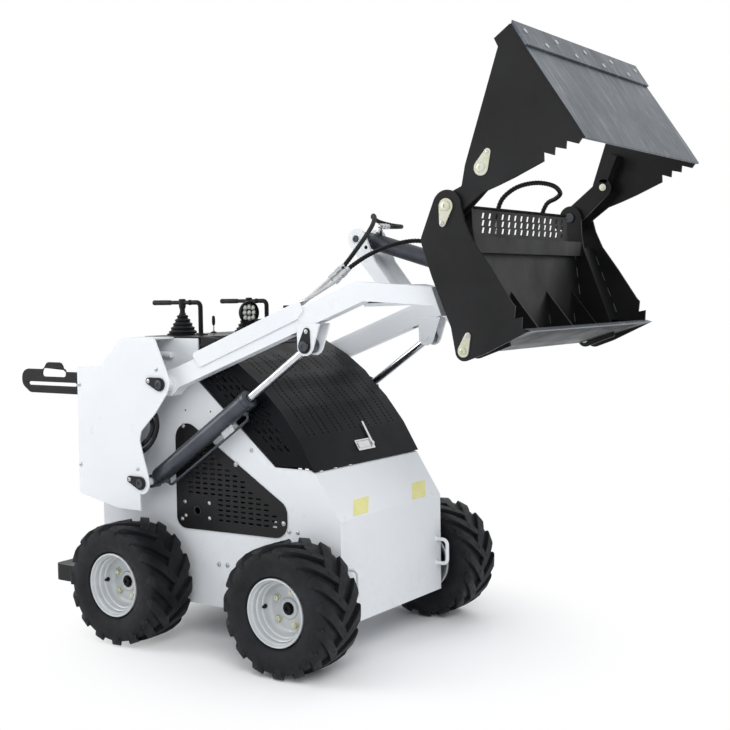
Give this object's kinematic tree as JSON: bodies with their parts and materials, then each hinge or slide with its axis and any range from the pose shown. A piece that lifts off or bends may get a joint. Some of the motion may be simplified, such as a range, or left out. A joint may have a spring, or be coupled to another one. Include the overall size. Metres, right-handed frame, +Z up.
{
  "type": "skid steer loader",
  "caption": "Compact walk-behind skid steer loader on rubber tyres, with a hydraulic boom, tilt cylinder and clam bucket raised.",
  "frame": {"origin": "middle of the machine's box on the ground, in the rest pose with the boom raised", "axes": "+X forward to the bucket, +Y to the operator's left, +Z up"},
  "size_m": [2.462, 1.151, 2.0786],
  "materials": {
    "white_paint": "satin white paint",
    "black_paint": "satin black paint",
    "chrome": "polished",
    "cylinder_grey": "dark grey paint",
    "worn_steel": "scuffed blue-grey steel",
    "engine_iron": "cast, painted dark",
    "rubber": "moulded",
    "tyre_rubber": "dull rubber",
    "rim_silver": "silver paint"
  },
  "bodies": {
    "chassis": {"body_tub": "white_paint", "engine_block": "engine_iron", "console_plate": "black_paint", "rear_platform": "black_paint", "reference_bar_right": "rubber", "reference_bar_left": "rubber", "aux_lever": "rubber", "work_lamp": "black_paint", "side_grille_right": "black_paint", "tower_plate_right": "white_paint", "grip_plate_right": "black_paint", "front_handle_right": "white_paint", "drive_lever_right": "rubber", "wheel_motor_front_right": "cylinder_grey", "wheel_motor_rear_right": "cylinder_grey", "side_grille_left": "black_paint", "tower_plate_left": "white_paint", "grip_plate_left": "black_paint", "front_handle_left": "white_paint", "drive_lever_left": "rubber", "wheel_motor_front_left": "cylinder_grey", "wheel_motor_rear_left": "cylinder_grey"},
    "hood": {"hood": "black_paint", "hood_latch": "chrome"},
    "boom": {"boom_arm_right": "white_paint", "boom_arm_left": "white_paint", "arm_side_plate_right": "white_paint", "arm_side_plate_left": "white_paint", "boom_crossmember": "white_paint", "tilt_tower": "white_paint", "tilt_hose_base": "rubber", "tilt_hose_gland": "rubber"},
    "bucket": {"bucket_blade": "black_paint", "bucket_side_right": "black_paint", "bucket_side_left": "black_paint", "bucket_guard": "black_paint", "attach_frame": "black_paint", "bucket_hose": "rubber"},
    "clam": {"clam_jaw": "black_paint", "clam_arm_right": "black_paint", "clam_arm_left": "black_paint", "clam_edge": "worn_steel"},
    "tilt_barrel": {"tilt_barrel": "cylinder_grey"},
    "tilt_rod": {"tilt_rod": "chrome"},
    "lift_barrel_right": {"lift_barrel_right": "cylinder_grey"},
    "lift_rod_right": {"lift_rod_right": "chrome"},
    "clam_barrel_right": {"clam_barrel_right": "cylinder_grey"},
    "clam_rod_right": {"clam_rod_right": "chrome"},
    "wheel_front_right": {"tyre_front_right": "tyre_rubber", "rim_front_right": "rim_silver"},
    "wheel_rear_right": {"tyre_rear_right": "tyre_rubber", "rim_rear_right": "rim_silver"},
    "lift_barrel_left": {"lift_barrel_left": "cylinder_grey"},
    "lift_rod_left": {"lift_rod_left": "chrome"},
    "clam_barrel_left": {"clam_barrel_left": "cylinder_grey"},
    "clam_rod_left": {"clam_rod_left": "chrome"},
    "wheel_front_left": {"tyre_front_left": "tyre_rubber", "rim_front_left": "rim_silver"},
    "wheel_rear_left": {"tyre_rear_left": "tyre_rubber", "rim_rear_left": "rim_silver"}
  },
  "joints": [
    {"name": "boom_lift", "type": "hinge", "parent": "chassis", "child": "boom", "pos_m": [-0.451, 0, 0.967], "axis": [0, -1, 0], "range_deg": [-53, 25]},
    {"name": "bucket_tilt", "type": "hinge", "parent": "boom", "child": "bucket", "pos_m": [0.775, 0, 1.145], "axis": [0, 1, 0], "range_deg": [-24, 70]},
    {"name": "clam_open", "type": "hinge", "parent": "bucket", "child": "clam", "pos_m": [0.781, 0, 1.549], "axis": [0, -1, 0], "range_deg": [-73.5, 0]},
    {"name": "hood_open", "type": "hinge", "parent": "chassis", "child": "hood", "pos_m": [-0.313, 0, 1.112], "axis": [0, -1, 0], "range_deg": [0, 50]},
    {"name": "tilt_barrel_swing", "type": "hinge", "parent": "boom", "child": "tilt_barrel", "pos_m": [0.16, 0, 1.484], "axis": [0, 1, 0], "range_deg": [-0.7, 0.24]},
    {"name": "tilt_rod_slide", "type": "slide", "parent": "tilt_barrel", "child": "tilt_rod", "axis": [0.9592, 0, -0.2829], "range_m": [-0.06074, 0.17715]},
    {"name": "lift_barrel_right_swing", "type": "hinge", "parent": "chassis", "child": "lift_barrel_right", "pos_m": [-0.56, -0.389, 0.596], "axis": [0, -1, 0], "range_deg": [-36.57, 17.25]},
    {"name": "lift_rod_right_slide", "type": "slide", "parent": "lift_barrel_right", "child": "lift_rod_right", "axis": [0.8216, 0, 0.5701], "range_m": [-0.27751, 0.1309]},
    {"name": "clam_barrel_right_swing", "type": "hinge", "parent": "bucket", "child": "clam_barrel_right", "pos_m": [0.837, -0.441, 1.11], "axis": [0, -1, 0], "range_deg": [-4.08, 0]},
    {"name": "clam_rod_right_slide", "type": "slide", "parent": "clam_barrel_right", "child": "clam_rod_right", "axis": [-0.249, 0, 0.9685], "range_m": [0, 0.05734]},
    {"name": "wheel_front_right_spin", "type": "hinge", "parent": "chassis", "child": "wheel_front_right", "pos_m": [0.1455, -0.4695, 0.2265], "axis": [0, 1, 0], "continuous": true},
    {"name": "wheel_rear_right_spin", "type": "hinge", "parent": "chassis", "child": "wheel_rear_right", "pos_m": [-0.6155, -0.4695, 0.2265], "axis": [0, 1, 0], "continuous": true},
    {"name": "lift_barrel_left_swing", "type": "hinge", "parent": "chassis", "child": "lift_barrel_left", "pos_m": [-0.56, 0.389, 0.596], "axis": [0, -1, 0], "range_deg": [-36.57, 17.25]},
    {"name": "lift_rod_left_slide", "type": "slide", "parent": "lift_barrel_left", "child": "lift_rod_left", "axis": [0.8216, 0, 0.5701], "range_m": [-0.27751, 0.1309]},
    {"name": "clam_barrel_left_swing", "type": "hinge", "parent": "bucket", "child": "clam_barrel_left", "pos_m": [0.837, 0.441, 1.11], "axis": [0, -1, 0], "range_deg": [-4.08, 0]},
    {"name": "clam_rod_left_slide", "type": "slide", "parent": "clam_barrel_left", "child": "clam_rod_left", "axis": [-0.249, 0, 0.9685], "range_m": [0, 0.05734]},
    {"name": "wheel_front_left_spin", "type": "hinge", "parent": "chassis", "child": "wheel_front_left", "pos_m": [0.1455, 0.4695, 0.2265], "axis": [0, 1, 0], "continuous": true},
    {"name": "wheel_rear_left_spin", "type": "hinge", "parent": "chassis", "child": "wheel_rear_left", "pos_m": [-0.6155, 0.4695, 0.2265], "axis": [0, 1, 0], "continuous": true}
  ],
  "couplings": [
    {"joint": "tilt_barrel_swing", "follows": "bucket_tilt", "ratio": -0.01},
    {"joint": "tilt_rod_slide", "follows": "bucket_tilt", "m_per_rad": 0.145},
    {"joint": "lift_barrel_right_swing", "follows": "boom_lift", "ratio": 0.69},
    {"joint": "lift_rod_right_slide", "follows": "boom_lift", "m_per_rad": 0.3},
    {"joint": "clam_barrel_right_swing", "follows": "clam_open", "ratio": 0.0555},
    {"joint": "clam_rod_right_slide", "follows": "clam_open", "m_per_rad": -0.0447},
    {"joint": "lift_barrel_left_swing", "follows": "boom_lift", "ratio": 0.69},
    {"joint": "lift_rod_left_slide", "follows": "boom_lift", "m_per_rad": 0.3},
    {"joint": "clam_barrel_left_swing", "follows": "clam_open", "ratio": 0.0555},
    {"joint": "clam_rod_left_slide", "follows": "clam_open", "m_per_rad": -0.0447}
  ]
}
